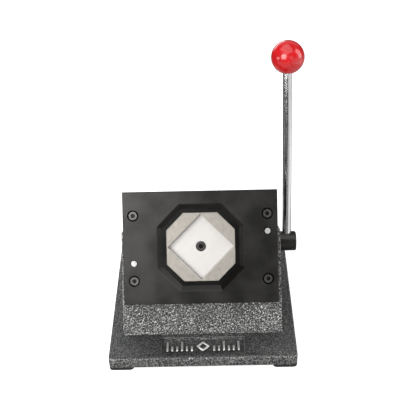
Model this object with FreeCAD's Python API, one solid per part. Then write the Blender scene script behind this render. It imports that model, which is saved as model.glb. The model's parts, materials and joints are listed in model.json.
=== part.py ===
"""Stand punch for badge blanks: a leaning die set on a base, worked by a side lever.

Millimetres, +Z up, front towards -Y. The origin is under the middle of the whole outline,
at the height of the surface that the feet stand on.
The die set is drawn in its own frame: u to the right, v up the leaning front face, n out
of that face. The die's centre on the front face is the frame's zero, and the shaft lies
parallel to u behind it.
"""
import FreeCAD, Part
import math
import os

V = FreeCAD.Vector

# Base and feet
base_width = 200.0
base_depth = 200.0
base_thickness = 13.0
base_corner_radius = 4.0
base_edge_radius = 3.0
foot_size = 26.0
foot_height = 4.0
pocket_width = 88.0
pocket_depth_y = 23.0
pocket_recess = 2.5
pocket_from_front = 7.0

# Die set, in layers from its front face backwards
lean = 35.0
die_height = 92.5
die_from_front = 70.6
plate_width = 163.0
plate_height = 119.0
front_thickness = 8.0
die_thickness = 4.0
slot_thickness = 1.5
guide_thickness = 10.5
layer_inset = 0.8
slot_width = 114.0

# Window in the front plate and the die in it
window_flats = 92.4
window_cut = 24.0
bevel = 5.4
ledge_width = 4.4
die_face_step = 0.8
blank_side = 50.0

# Housing
housing_width = 172.0
wall_thickness = 10.0
cheek_thickness = 10.0
cheek_top = 15.0
cheek_round = 18.0
cheek_rear_margin = 15.0
opening_half_width = 56.0
opening_bottom = -48.0

# Shaft, eccentric and lever
shaft_behind_face = 62.0
shaft_diameter = 18.0
shaft_neck_diameter = 14.0
bush_diameter = 22.0
bush_flange_diameter = 24.0
bush_flange = 2.0
cam_offset = 7.0
cam_diameter = 40.0
cam_width = 22.0
key_size = 6.0
key_length = 18.0
swing = 70.0
lever_back_lean = 20.0
lever_length = 204.8
lever_x = 95.7
rod_diameter = 10.0
rod_thread = 8.0
hub_diameter = 22.0
hub_start = 88.0
hub_end = 105.9
hub_end_radius = 1.8
washer_thickness = 1.8
ball_diameter = 35.5
ball_flat_depth = 1.0
ball_bore_depth = 15.0
ring_thickness = 1.0
ring_diameter = 23.0
ring_groove_depth = 0.8
ring_overhang = 1.6

# Stop that ends the swing both ways
collar_diameter = 44.0
collar_width = 11.8
stop_pin_diameter = 5.0
stop_pin_radius = 16.0
stop_slot_depth = 6.0

# Ram, punch and return springs
ram_size = 62.0
ram_thickness = 8.0
ear_span = 106.0
ear_height = 18.0
ear_thickness = 6.0
ear_setback = 4.2
pad_width = 24.0
pad_low = -12.0
pad_high = 22.0
pad_thickness = 4.0
punch_setback = 0.5
guide_pin_u = 45.0
guide_pin_diameter = 8.0
guide_pin_tail = 6.0
guide_pin_seat = 8.0
spring_outer = 14.0
spring_inner = 10.0
spring_pocket = 3.0

# Fasteners: thread, head and hexagon sizes
screw_u = 70.6
screw_v = 34.4
dowel_v = 16.0
dowel_diameter = 6.0
dowel_ring_diameter = 8.0
dowel_ring_depth = 1.0
m6 = 6.0
m6_head = 10.0
m6_head_height = 6.0
m6_low_head_height = 4.0
m6_hexagon = 5.0
m6_low_hexagon = 4.0
m5 = 5.0
m5_head = 8.5
m5_head_height = 5.0
m5_hexagon = 4.0
m4 = 4.0
m4_head = 7.5
m4_head_height = 2.2
m4_hexagon = 2.5
guide_screw_u = 66.0
guide_screw_high = 0.0
guide_screw_low = -52.0
base_bolt_ys = (-50.0, 5.0, 60.0)

# Clearances
slide_gap = 0.05
running_gap = 0.06
hole_gap = 0.3
seat_gap = 1.0
sink = 0.4
side_play = 0.2
cam_gap = 0.2
stop_play = 0.4
edge_break = 0.6

# ---- places worked out from the sizes above ----
base_top = foot_height + base_thickness
base_front = -base_depth / 2
centre_y = base_front + die_from_front
centre_z = base_top + die_height
slope = math.radians(lean)
die_front = -front_thickness
spacer_front = die_front - die_thickness
guide_front = spacer_front - slot_thickness
stack_back = guide_front - guide_thickness
wall_back = stack_back - wall_thickness
ledge_level = -bevel
die_face = ledge_level - die_face_step
window_half = window_flats / 2
inner_half = window_half - bevel - ledge_width
shaft_n = -shaft_behind_face
cheek_outer = housing_width / 2
cheek_inner = cheek_outer - cheek_thickness
screw_hole = m6 + 2 * hole_gap
screw_seat = m6_head + 2 * seat_gap

# The eccentric moves the ram by its sine, so the swing is centred on its flat point.
cam_angle = -swing / 2
cam_radius = cam_diameter / 2
cam_lift = cam_offset * math.sin(math.radians(swing / 2))
stroke = 2 * cam_lift
pad_back = shaft_n + cam_radius - cam_lift + cam_gap
ram_back = pad_back + pad_thickness
ram_front = ram_back + ram_thickness
punch_front = guide_front - punch_setback
ear_front = ram_front - ear_setback
ear_back = ear_front - ear_thickness
spring_seat = stack_back + spring_pocket
lever_angle = lean - lever_back_lean

# The whole outline's middle, at rest, is the origin: the ball stands out right and back.
shaft_y = centre_y - shaft_n * math.cos(slope)
ball_y = shaft_y + lever_length * math.sin(math.radians(lever_back_lean))
ball_radius = ball_diameter / 2
right_edge = max(base_width / 2, lever_x + ball_radius, hub_end)
back_edge = max(base_depth / 2, ball_y + ball_radius)
to_origin = V(-(right_edge - base_width / 2) / 2, -(back_edge - base_depth / 2) / 2, 0)

stand_frame = FreeCAD.Placement(to_origin, FreeCAD.Rotation())
die_frame = FreeCAD.Placement(
    to_origin + V(0, centre_y, centre_z), FreeCAD.Rotation(V(1, 0, 0), 90 - lean))


# ---- drawing helpers ----
def box(low, high):
    """Box between two opposite corners."""
    size = V(*high) - V(*low)
    return Part.makeBox(size.x, size.y, size.z, V(*low))


def cylinder(diameter, start, end):
    """Cylinder from one point to another."""
    axis = V(*end) - V(*start)
    return Part.makeCylinder(diameter / 2, axis.Length, V(*start), axis)


def tube(outer, inner, start, end):
    return cylinder(outer, start, end).cut(cylinder(inner, start, end))


def prism(outline, low, high):
    """Solid from a flat outline in u and v, between two levels of n."""
    points = [V(a, b, low) for a, b in outline]
    face = Part.Face(Part.makePolygon(points + points[:1]))
    return face.extrude(V(0, 0, high - low))


def side_prism(outline, left, right):
    """Solid from an outline in v and n, between two places along u."""
    points = [V(left, a, b) for a, b in outline]
    face = Part.Face(Part.makePolygon(points + points[:1]))
    return face.extrude(V(right - left, 0, 0))


def octagon(half, cut):
    """Square of this half width with its corners cut at 45 degrees, as an outline."""
    near = half - cut
    return [(half, -near), (half, near), (near, half), (-near, half),
            (-half, near), (-half, -near), (-near, -half), (near, -half)]


def octagon_cut_at(inset):
    """Corner cut of the window's octagon, moved inwards by this much all round."""
    return window_cut - inset * (2 - math.sqrt(2))


def diamond(side):
    reach = side / math.sqrt(2)
    return [(reach, 0), (0, reach), (-reach, 0), (0, -reach)]


def hexagon_prism(flats, low, high):
    reach = flats / math.sqrt(3)
    corners = [math.radians(60 * k) for k in range(6)]
    return prism([(reach * math.cos(a), reach * math.sin(a)) for a in corners], low, high)


def cap_screw(thread, head, head_height, length, flats):
    """Socket head screw with its head's top at zero and its thread downwards."""
    top = cylinder(head, (0, 0, -head_height), (0, 0, 0))
    rim = [e for e in top.Edges if e.BoundBox.ZMin > -head_height / 2 and len(e.Vertexes) == 1]
    top = top.makeChamfer(edge_break, rim)
    shank = cylinder(thread, (0, 0, -head_height - length), (0, 0, -head_height))
    socket = hexagon_prism(flats, -head_height / 2, edge_break)
    return top.fuse(shank).cut(socket)


def grub_screw(thread, length, flats):
    """Headless screw with its socket at zero and its point downwards."""
    body = cylinder(thread, (0, 0, -length), (0, 0, 0))
    return body.cut(hexagon_prism(flats, -length / 2, edge_break))


def moved(shape, u, v, n):
    shape = shape.copy()
    shape.translate(V(u, v, n))
    return shape


def turned(shape, angle):
    """Turned about the u axis, positive from v towards n, and carried to the shaft."""
    shape = shape.copy()
    shape.rotate(V(0, 0, 0), V(1, 0, 0), angle)
    shape.translate(V(0, 0, shaft_n))
    return shape


def flat_to_shaft(shape, place_u):
    """A piece drawn along n, laid along v so that it points out of the shaft."""
    shape = shape.copy()
    shape.rotate(V(0, 0, 0), V(1, 0, 0), -90)
    shape.translate(V(place_u, 0, 0))
    return shape


def save(name, shapes, frame):
    """Writes one node; pieces that are the same share it."""
    shapes = shapes if isinstance(shapes, list) else [shapes]
    shape = Part.makeCompound(shapes) if len(shapes) > 1 else shapes[0]
    shape = shape.transformed(frame.toMatrix(), True)
    shape.exportStep("parts/" + name + ".step")


def to_die_frame(y, z):
    """A point beside the stand, as v and n."""
    y = y - centre_y
    z = z - centre_z
    return (y * math.sin(slope) + z * math.cos(slope), z * math.sin(slope) - y * math.cos(slope))


def v_on_base(n):
    """Where a surface at this level of n meets the base's top."""
    return (-die_height - n * math.sin(slope)) / math.cos(slope)


def tangent_point(point, radius, side):
    """Where a line from a point in v and n touches a circle about the shaft."""
    v, n = point[0], point[1] - shaft_n
    far = math.hypot(v, n)
    angle = math.atan2(n, v) + side * math.acos(radius / far)
    return (radius * math.cos(angle), shaft_n + radius * math.sin(angle))


screw_places_high = [(side * screw_u, screw_v) for side in (-1, 1)]
screw_places_low = [(side * screw_u, -screw_v) for side in (-1, 1)]
screw_places = screw_places_high + screw_places_low
dowel_places = [(-screw_u, -dowel_v), (screw_u, dowel_v)]
guide_screw_places = [(side * guide_screw_u, v) for side in (-1, 1)
                      for v in (guide_screw_high, guide_screw_low)]
guide_pin_places = [(side * guide_pin_u, 0) for side in (-1, 1)]


def drilled(shape, places, diameter, low, high):
    for u, v in places:
        shape = shape.cut(cylinder(diameter, (u, v, low), (u, v, high)))
    return shape


# ---- base, feet and their fasteners ----
def foot_centres():
    reach_x = (base_width - foot_size) / 2
    reach_y = (base_depth - foot_size) / 2
    return {"front_left": (-reach_x, -reach_y), "front_right": (reach_x, -reach_y),
            "rear_left": (-reach_x, reach_y), "rear_right": (reach_x, reach_y)}


def base_bolt_places():
    x = cheek_outer - cheek_thickness / 2
    return [(side * x, y) for side in (-1, 1) for y in base_bolt_ys]


base_bolt_length = 16.0
base_bolt_seat = m6_head_height + sink
foot_screw_length = 9.0
foot_seat = m4_head_height + sink


def base_plate():
    plate = box((-base_width / 2, base_front, foot_height),
                (base_width / 2, -base_front, base_top))
    upright = [e for e in plate.Edges if e.BoundBox.ZLength > base_thickness / 2]
    plate = plate.makeFillet(base_corner_radius, upright)
    rim = [e for e in plate.Edges if e.BoundBox.ZMin > base_top - edge_break]
    plate = plate.makeFillet(base_edge_radius, rim)
    pocket_front = base_front + pocket_from_front
    pocket = box((-pocket_width / 2, pocket_front, base_top - pocket_recess),
                 (pocket_width / 2, pocket_front + pocket_depth_y, base_top + 1))
    plate = plate.cut(pocket)
    for x, y in base_bolt_places():
        plate = plate.cut(cylinder(screw_hole, (x, y, foot_height), (x, y, base_top)))
        seat_end = foot_height + base_bolt_seat
        plate = plate.cut(cylinder(screw_seat, (x, y, foot_height), (x, y, seat_end)))
    for x, y in foot_centres().values():
        end = foot_height + foot_screw_length
        plate = plate.cut(cylinder(m4, (x, y, foot_height), (x, y, end)))
    return plate


def base_bolts():
    bolt = cap_screw(m6, m6_head, m6_head_height, base_bolt_length, m6_hexagon)
    bolt.rotate(V(0, 0, 0), V(1, 0, 0), 180)
    return [moved(bolt, x, y, foot_height + sink) for x, y in base_bolt_places()]


def foot(x, y):
    half = foot_size / 2
    pad = box((x - half, y - half, 0), (x + half, y + half, foot_height))
    upright = [e for e in pad.Edges if e.BoundBox.ZLength > foot_height / 2]
    pad = pad.makeFillet(base_corner_radius / 2, upright)
    pad = pad.cut(cylinder(m4 + 2 * hole_gap, (x, y, 0), (x, y, foot_height)))
    return pad.cut(cylinder(m4_head + seat_gap, (x, y, 0), (x, y, foot_seat)))


def foot_screws():
    screw = cap_screw(m4, m4_head, m4_head_height, foot_screw_length, m4_hexagon)
    screw.rotate(V(0, 0, 0), V(1, 0, 0), 180)
    return [moved(screw, x, y, foot_seat - m4_head_height) for x, y in foot_centres().values()]


# ---- housing ----
def housing():
    foot_point = (v_on_base(stack_back), stack_back)
    front_point = (cheek_top, stack_back)
    rear_point = to_die_frame(-base_front - cheek_rear_margin, base_top)
    outline = [foot_point, front_point, tangent_point(front_point, cheek_round, -1),
               tangent_point(rear_point, cheek_round, 1), rear_point]
    wall = [foot_point, (opening_bottom, stack_back), (opening_bottom, wall_back),
            (v_on_base(wall_back), wall_back)]
    body = side_prism(wall, -cheek_outer, cheek_outer)
    for side in (-1, 1):
        cheek = side_prism(outline, side * cheek_inner, side * cheek_outer)
        boss = cylinder(2 * cheek_round, (side * cheek_inner, 0, shaft_n),
                        (side * cheek_outer, 0, shaft_n))
        lows = sorted((side * opening_half_width, side * cheek_outer))
        post = box((lows[0], opening_bottom, wall_back), (lows[1], cheek_top, stack_back))
        body = body.fuse([cheek, boss, post])
    body = body.removeSplitter()
    body = body.cut(cylinder(bush_diameter, (-cheek_outer, 0, shaft_n), (cheek_outer, 0, shaft_n)))
    body = drilled(body, screw_places_low, m6, wall_back, stack_back)
    body = drilled(body, guide_screw_places, m5, wall_back, stack_back)
    body = body.cut(stop_pin())
    bolts = Part.makeCompound(base_bolts())
    bolts.translate(V(0, -centre_y, -centre_z))
    bolts.rotate(V(0, 0, 0), V(1, 0, 0), lean - 90)
    return body.cut(bolts)


def bush(side):
    """A flanged bush pressed into a cheek from inside."""
    outer, inner = side * cheek_outer, side * cheek_inner
    body = cylinder(bush_diameter, (inner, 0, shaft_n), (outer, 0, shaft_n))
    rim = cylinder(bush_flange_diameter, (inner, 0, shaft_n),
                   (inner - side * bush_flange, 0, shaft_n))
    bore = cylinder(shaft_diameter + 2 * running_gap, (inner - side * bush_flange, 0, shaft_n),
                    (outer, 0, shaft_n))
    return body.fuse(rim).cut(bore)


# ---- die set ----
def layer(front, back, inset):
    half_u = plate_width / 2 - inset
    half_v = plate_height / 2 - inset
    return box((-half_u, -half_v, back), (half_u, half_v, front))


def front_plate():
    plate = layer(0, die_front, 0)
    rim = [e for e in plate.Edges if e.BoundBox.ZMin > -edge_break]
    plate = plate.makeChamfer(edge_break, rim)
    wide = octagon(window_half, window_cut)
    near = octagon(window_half - bevel, octagon_cut_at(bevel))
    wires = [Part.makePolygon([V(a, b, 0) for a, b in wide + wide[:1]]),
             Part.makePolygon([V(a, b, ledge_level) for a, b in near + near[:1]])]
    plate = plate.cut(Part.makeLoft(wires, True, True))
    inner = octagon(inner_half, octagon_cut_at(bevel + ledge_width))
    plate = plate.cut(prism(inner, die_front, ledge_level))
    plate = drilled(plate, screw_places, screw_hole, die_front, 0)
    plate = drilled(plate, screw_places, screw_seat, -m6_low_head_height - sink, 0)
    plate = drilled(plate, dowel_places, dowel_diameter, die_front, 0)
    return drilled(plate, dowel_places, dowel_ring_diameter, -dowel_ring_depth, 0)


def die_plate():
    plate = layer(die_front, spacer_front, layer_inset)
    half = inner_half - side_play
    boss = octagon(half, octagon_cut_at(window_half - half))
    plate = plate.fuse(prism(boss, die_front, die_face)).removeSplitter()
    plate = plate.cut(prism(diamond(blank_side + 2 * slide_gap), spacer_front, die_face))
    plate = drilled(plate, screw_places, screw_hole, spacer_front, die_front)
    return drilled(plate, dowel_places, dowel_diameter, spacer_front, die_front)


def slot_spacer(side):
    edges = sorted((side * slot_width / 2, side * (plate_width / 2 - layer_inset)))
    half_v = plate_height / 2 - layer_inset
    strip = box((edges[0], -half_v, guide_front), (edges[1], half_v, spacer_front))
    here = [p for p in screw_places if p[0] * side > 0]
    strip = drilled(strip, here, screw_hole, guide_front, spacer_front)
    here = [p for p in dowel_places if p[0] * side > 0]
    return drilled(strip, here, dowel_diameter, guide_front, spacer_front)


def guide_plate():
    plate = layer(guide_front, stack_back, layer_inset)
    plate = plate.cut(prism(diamond(blank_side + 2 * slide_gap), stack_back, guide_front))
    plate = drilled(plate, screw_places_high, m6, stack_back, guide_front)
    plate = drilled(plate, screw_places_low, screw_hole, stack_back, guide_front)
    plate = drilled(plate, dowel_places, dowel_diameter, stack_back, guide_front)
    plate = drilled(plate, guide_screw_places, m5 + 2 * hole_gap, stack_back, guide_front)
    seat = guide_front - m5_head_height - sink
    plate = drilled(plate, guide_screw_places, m5_head + seat_gap, seat, guide_front)
    pin_end = stack_back + guide_pin_seat
    plate = drilled(plate, guide_pin_places, guide_pin_diameter, stack_back, pin_end)
    pocket = spring_outer + seat_gap
    return drilled(plate, guide_pin_places, pocket, stack_back, spring_seat)


screw_length_high = 18.0
screw_length_low = 28.0
guide_screw_length = 14.0


def plate_screws(places, length):
    screw = cap_screw(m6, m6_head, m6_low_head_height, length, m6_low_hexagon)
    return [moved(screw, u, v, -sink) for u, v in places]


def guide_plate_screws():
    screw = cap_screw(m5, m5_head, m5_head_height, guide_screw_length, m5_hexagon)
    return [moved(screw, u, v, guide_front - sink) for u, v in guide_screw_places]


def dowel_pins():
    return [cylinder(dowel_diameter, (u, v, stack_back), (u, v, 0)) for u, v in dowel_places]


def guide_pins():
    front = stack_back + guide_pin_seat
    back = ear_back - guide_pin_tail
    return [cylinder(guide_pin_diameter, (u, v, back), (u, v, front)) for u, v in guide_pin_places]


def return_spring(side):
    u = side * guide_pin_u
    return tube(spring_outer, spring_inner, (u, 0, ear_front), (u, 0, spring_seat))


# ---- ram and punch ----
punch_screw_length = 18.0
punch_dowel_diameter = 5.0
punch_dowel_u = 15.0
punch_dowel_length = 12.0
pad_screw_vs = (-7.0, 16.0)
pad_screw_length = 6.0


def ram():
    half = ram_size / 2
    body = box((-half, -half, ram_back), (half, half, ram_front))
    for side in (-1, 1):
        edges = sorted((side * (pad_width / 2 + seat_gap), side * ear_span / 2))
        ear = box((edges[0], -ear_height / 2, ear_back), (edges[1], ear_height / 2, ear_front))
        body = body.fuse(ear)
    body = body.removeSplitter()
    body = drilled(body, guide_pin_places, guide_pin_diameter + 2 * hole_gap, ear_back, ear_front)
    body = body.cut(punch_screw())
    body = body.cut(punch_dowels())
    return body.cut(pad_screws())


def punch():
    body = prism(diamond(blank_side), ram_front, punch_front)
    body = body.cut(cylinder(screw_hole, (0, 0, ram_front), (0, 0, punch_front)))
    seat = punch_front - m6_head_height - sink
    body = body.cut(cylinder(m6_head + seat_gap, (0, 0, seat), (0, 0, punch_front)))
    return body.cut(punch_dowels())


def punch_screw():
    screw = cap_screw(m6, m6_head, m6_head_height, punch_screw_length, m6_hexagon)
    return moved(screw, 0, 0, punch_front - sink)


def punch_dowels():
    half = punch_dowel_length / 2
    return [cylinder(punch_dowel_diameter, (side * punch_dowel_u, 0, ram_front - half),
                     (side * punch_dowel_u, 0, ram_front + half)) for side in (-1, 1)]


def wear_pad():
    half = pad_width / 2
    pad = box((-half, pad_low, pad_back), (half, pad_high, ram_back))
    places = [(0, v) for v in pad_screw_vs]
    pad = drilled(pad, places, m4 + 2 * hole_gap, pad_back, ram_back)
    return drilled(pad, places, m4_head + seat_gap, pad_back, pad_back + m4_head_height + sink)


def pad_screws():
    screw = cap_screw(m4, m4_head, m4_head_height, pad_screw_length, m4_hexagon)
    screw.rotate(V(0, 0, 0), V(1, 0, 0), 180)
    return [moved(screw, 0, v, pad_back + sink) for v in pad_screw_vs]


# ---- shaft, eccentric, stop and lever, drawn about the u axis and then turned ----
collar_left = -cheek_inner + bush_flange + side_play
collar_right = collar_left + collar_width
collar_screw_u = (collar_left + stop_slot_depth + collar_right) / 2
grub_length = 8.0
hub_grub_length = 5.5
shaft_left = -cheek_outer - side_play - ring_thickness - ring_overhang
washer_start = hub_start - washer_thickness


def eccentric_key():
    half = key_size / 2
    return box((-key_length / 2, shaft_diameter / 2 - half, -half),
               (key_length / 2, shaft_diameter / 2 + half, half))


def eccentric_cam():
    half = cam_width / 2
    disc = cylinder(cam_diameter, (-half, cam_offset, 0), (half, cam_offset, 0))
    disc = disc.cut(cylinder(shaft_diameter, (-half, 0, 0), (half, 0, 0)))
    keyway = box((-half, 0, -key_size / 2), (half, (shaft_diameter + key_size) / 2, key_size / 2))
    return disc.cut(keyway)


def ring_cutter():
    left = -cheek_outer - side_play - ring_thickness
    return tube(ring_diameter, shaft_diameter - 2 * ring_groove_depth, (left, 0, 0),
                (left + ring_thickness, 0, 0))


def retaining_ring():
    left = -cheek_outer - side_play - ring_thickness
    gap = box((left, -key_size / 2, -ring_diameter), (left + ring_thickness, key_size / 2, 0))
    return ring_cutter().cut(gap)


def rod_spigot():
    """The thread at the rod's foot, through the hub into the shaft, drawn along v."""
    return cylinder(rod_thread, (lever_x, 0, 0), (lever_x, rod_seat, 0))


rod_seat = hub_diameter / 2 - seat_gap


def hub_grub():
    screw = grub_screw(m5, hub_grub_length, m4_hexagon)
    screw = flat_to_shaft(moved(screw, 0, 0, hub_diameter / 2 - sink), 0)
    screw.rotate(V(0, 0, 0), V(1, 0, 0), 180)
    screw.translate(V(lever_x, 0, 0))
    return screw


def shaft():
    body = cylinder(shaft_diameter, (shaft_left, 0, 0), (hub_start, 0, 0))
    end = hub_end - seat_gap
    body = body.fuse(cylinder(shaft_neck_diameter, (hub_start, 0, 0), (end, 0, 0)))
    body = body.removeSplitter()
    ends = [e for e in body.Edges if len(e.Vertexes) == 1
            and (e.BoundBox.XMax < shaft_left + edge_break or e.BoundBox.XMin > end - edge_break)]
    body = body.makeChamfer(edge_break, ends)
    body = body.cut(ring_cutter())
    keyed = eccentric_key()
    keyed.rotate(V(0, 0, 0), V(1, 0, 0), cam_angle)
    fixed = [rod_spigot(), hub_grub()]
    for piece in fixed:
        piece.rotate(V(0, 0, 0), V(1, 0, 0), lever_angle)
    return body.cut([keyed] + fixed)


def lever_hub():
    body = cylinder(hub_diameter, (hub_start, 0, 0), (hub_end, 0, 0))
    rim = [e for e in body.Edges if len(e.Vertexes) == 1]
    outer_rim = [e for e in rim if e.BoundBox.XMin > hub_end - edge_break]
    body = body.makeFillet(hub_end_radius, outer_rim)
    body = body.cut(cylinder(shaft_neck_diameter, (hub_start, 0, 0), (hub_end, 0, 0)))
    seat = cylinder(rod_diameter + hole_gap, (lever_x, rod_seat, 0), (lever_x, hub_diameter, 0))
    hole = cylinder(m5, (lever_x, -hub_diameter, 0), (lever_x, 0, 0))
    return body.cut([seat, rod_spigot(), hole])


def lever_rod():
    neck = lever_length - ball_radius + ball_flat_depth
    body = cylinder(rod_diameter, (lever_x, rod_seat, 0), (lever_x, neck, 0))
    thread_end = neck + ball_bore_depth
    body = body.fuse(cylinder(rod_thread, (lever_x, neck, 0), (lever_x, thread_end, 0)))
    return body.fuse(rod_spigot()).removeSplitter()


def ball_knob():
    ball = Part.makeSphere(ball_radius, V(lever_x, lever_length, 0))
    neck = lever_length - ball_radius + ball_flat_depth
    ball = ball.cut(box((lever_x - ball_radius, neck - ball_radius, -ball_radius),
                        (lever_x + ball_radius, neck, ball_radius)))
    bore_end = neck + ball_bore_depth
    return ball.cut(cylinder(rod_thread, (lever_x, neck, 0), (lever_x, bore_end, 0)))


def stop_pin():
    """Pin pressed into the left cheek, straight below the shaft along the leaning face."""
    start = -cheek_outer + 2 * ring_thickness
    end = collar_left + stop_slot_depth - edge_break
    return cylinder(stop_pin_diameter, (start, -stop_pin_radius, shaft_n),
                    (end, -stop_pin_radius, shaft_n))


def collar_grub_hole(depth):
    """Along -v before turning, from the collar's rim inwards."""
    rim = -collar_diameter / 2
    return cylinder(m6, (collar_screw_u, rim, 0), (collar_screw_u, rim + depth, 0))


def stop_collar():
    body = cylinder(collar_diameter, (collar_left, 0, 0), (collar_right, 0, 0))
    body = body.cut(cylinder(shaft_diameter, (collar_left, 0, 0), (collar_right, 0, 0)))
    reach = stop_pin_radius + stop_pin_diameter / 2 + stop_play / 2
    inner = stop_pin_radius - stop_pin_diameter / 2 - stop_play / 2
    slot_end = collar_left + stop_slot_depth
    play = math.degrees(stop_play / stop_pin_radius)
    sector = Part.makeCylinder(reach, stop_slot_depth, V(collar_left, 0, 0), V(1, 0, 0), 360)
    sector = sector.cut(cylinder(2 * inner, (collar_left, 0, 0), (slot_end, 0, 0)))
    first, last = 180 - swing - play, 180 + play
    wedge = [(0, 0)]
    for share in (0, 0.25, 0.5, 0.75, 1):
        angle = math.radians(first + (last - first) * share)
        far = 2 * collar_diameter
        wedge.append((far * math.cos(angle), far * math.sin(angle)))
    sector = sector.common(side_prism(wedge, collar_left, slot_end))
    ends = []
    for angle in (first, last):
        v = stop_pin_radius * math.cos(math.radians(angle))
        n = stop_pin_radius * math.sin(math.radians(angle))
        ends.append(cylinder(stop_pin_diameter + stop_play, (collar_left, v, n), (slot_end, v, n)))
    body = body.cut(sector.fuse(ends))
    return body.cut(collar_grub_hole(collar_diameter / 2))


def collar_screw():
    depth = (collar_diameter - shaft_diameter) / 2
    hole = collar_grub_hole(depth)
    socket = hexagon_prism(m6_low_hexagon - 1, -grub_length / 2, edge_break)
    socket.rotate(V(0, 0, 0), V(1, 0, 0), 90)
    socket.translate(V(collar_screw_u, -collar_diameter / 2 + depth - grub_length, 0))
    tail = box((collar_left, -collar_diameter, -m6), (collar_right, 0, m6))
    tail.translate(V(0, -(shaft_diameter / 2 + grub_length), 0))
    return hole.cut(tail).cut(socket)


def thrust_washer():
    return tube(hub_diameter, shaft_diameter, (washer_start, 0, 0), (hub_start, 0, 0))


def main():
    os.makedirs("parts", exist_ok=True)
    save("base_plate", base_plate(), stand_frame)
    save("base_bolts", base_bolts(), stand_frame)
    for name, centre in foot_centres().items():
        save("foot_" + name, foot(*centre), stand_frame)
    save("foot_screws", foot_screws(), stand_frame)

    save("housing", housing(), die_frame)
    save("bush_left", bush(-1), die_frame)
    save("bush_right", bush(1), die_frame)
    save("stop_pin", stop_pin(), die_frame)
    save("front_plate", front_plate(), die_frame)
    save("die_plate", die_plate(), die_frame)
    save("slot_spacer_left", slot_spacer(-1), die_frame)
    save("slot_spacer_right", slot_spacer(1), die_frame)
    save("guide_plate", guide_plate(), die_frame)
    save("guide_plate_screws", guide_plate_screws(), die_frame)
    save("plate_screws_upper", plate_screws(screw_places_high, screw_length_high), die_frame)
    save("plate_screws_lower", plate_screws(screw_places_low, screw_length_low), die_frame)
    save("dowel_pins", dowel_pins(), die_frame)
    save("guide_pins", guide_pins(), die_frame)
    save("spring_left", return_spring(-1), die_frame)
    save("spring_right", return_spring(1), die_frame)

    save("ram", ram(), die_frame)
    save("punch", punch(), die_frame)
    save("punch_screw", punch_screw(), die_frame)
    save("punch_dowels", punch_dowels(), die_frame)
    save("wear_pad", wear_pad(), die_frame)
    save("wear_pad_screws", pad_screws(), die_frame)

    save("shaft", turned(shaft(), 0), die_frame)
    save("eccentric_cam", turned(eccentric_cam(), cam_angle), die_frame)
    save("cam_key", turned(eccentric_key(), cam_angle), die_frame)
    save("stop_collar", turned(stop_collar(), 0), die_frame)
    save("collar_screw", turned(collar_screw(), 0), die_frame)
    save("retaining_ring", turned(retaining_ring(), 0), die_frame)
    save("thrust_washer", turned(thrust_washer(), 0), die_frame)
    save("lever_hub", turned(lever_hub(), lever_angle), die_frame)
    save("hub_screw", turned(hub_grub(), lever_angle), die_frame)
    save("lever_rod", turned(lever_rod(), lever_angle), die_frame)
    save("ball_knob", turned(ball_knob(), lever_angle), die_frame)


main()
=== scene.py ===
"""Stand punch for badge blanks: castings, finishes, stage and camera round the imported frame.

Laid out as an add-on: sizes and colours are properties, each piece or group of like pieces
has an operator, and one panel lists them. Everything is in metres, in the frame's own axes:
+Z up and -Y towards the user.
"""
import json
import math

import bmesh
import bpy
from mathutils import Matrix, Quaternion, Vector


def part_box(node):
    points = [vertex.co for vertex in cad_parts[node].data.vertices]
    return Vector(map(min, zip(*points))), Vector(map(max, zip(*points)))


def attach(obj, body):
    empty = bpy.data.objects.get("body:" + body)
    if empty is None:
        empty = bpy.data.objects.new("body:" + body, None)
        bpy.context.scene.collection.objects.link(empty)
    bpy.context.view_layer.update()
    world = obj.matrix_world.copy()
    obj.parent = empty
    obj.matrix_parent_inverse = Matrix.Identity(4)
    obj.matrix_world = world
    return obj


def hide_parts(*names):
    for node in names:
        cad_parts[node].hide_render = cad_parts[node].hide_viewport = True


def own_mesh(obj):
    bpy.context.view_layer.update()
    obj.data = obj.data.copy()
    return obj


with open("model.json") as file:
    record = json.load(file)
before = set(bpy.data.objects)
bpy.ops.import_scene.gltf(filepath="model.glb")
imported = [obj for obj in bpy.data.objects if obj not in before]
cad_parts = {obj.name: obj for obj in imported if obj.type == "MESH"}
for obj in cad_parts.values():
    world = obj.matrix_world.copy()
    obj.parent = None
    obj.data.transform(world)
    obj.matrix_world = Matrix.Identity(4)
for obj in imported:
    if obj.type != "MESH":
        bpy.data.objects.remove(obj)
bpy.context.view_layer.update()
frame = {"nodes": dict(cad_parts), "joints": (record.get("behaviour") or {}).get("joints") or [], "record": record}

bl_info = {
    "name": "Stand punch for badge blanks",
    "version": (1, 0, 0),
    "blender": (4, 5, 0),
    "location": "View3D > Sidebar > Stand punch",
    "description": "Builds the castings, springs, knob, finishes and stage of a stand punch",
    "category": "Object",
}

MM = 0.001
SHARP_ANGLE = math.radians(34)   # edges sharper than this aren't shaded smooth


# ---- places read from the frame ----
def joint(name):
    return next(j for j in frame["joints"] if j["name"] == name)


LEAN_OUT = Vector(joint("punch_slide")["axis"]).normalized()
ACROSS = Vector((1, 0, 0))
LEAN_UP = LEAN_OUT.cross(ACROSS).normalized()
SHAFT_PLACE = Vector(joint("lever_swing")["pos_m"])


def corners(node):
    return [v.co.copy() for v in frame["nodes"][node].data.vertices]


def reach(node, direction):
    """Lowest and highest place of a CAD node along a direction."""
    along = [p.dot(direction) for p in corners(node)]
    return min(along), max(along)


def middle(node):
    low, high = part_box(node)
    return (Vector(low) + Vector(high)) / 2


def spots(node, apart):
    """Middles of a node's separate pieces, which stand more than this distance apart."""
    found = []
    for p in corners(node):
        for group in found:
            if (group[0] - p).length < apart:
                group.append(p)
                break
        else:
            found.append([p])
    middles = []
    for group in found:
        low = [min(p[k] for p in group) for k in range(3)]
        high = [max(p[k] for p in group) for k in range(3)]
        middles.append((Vector(low) + Vector(high)) / 2)
    return middles


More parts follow.
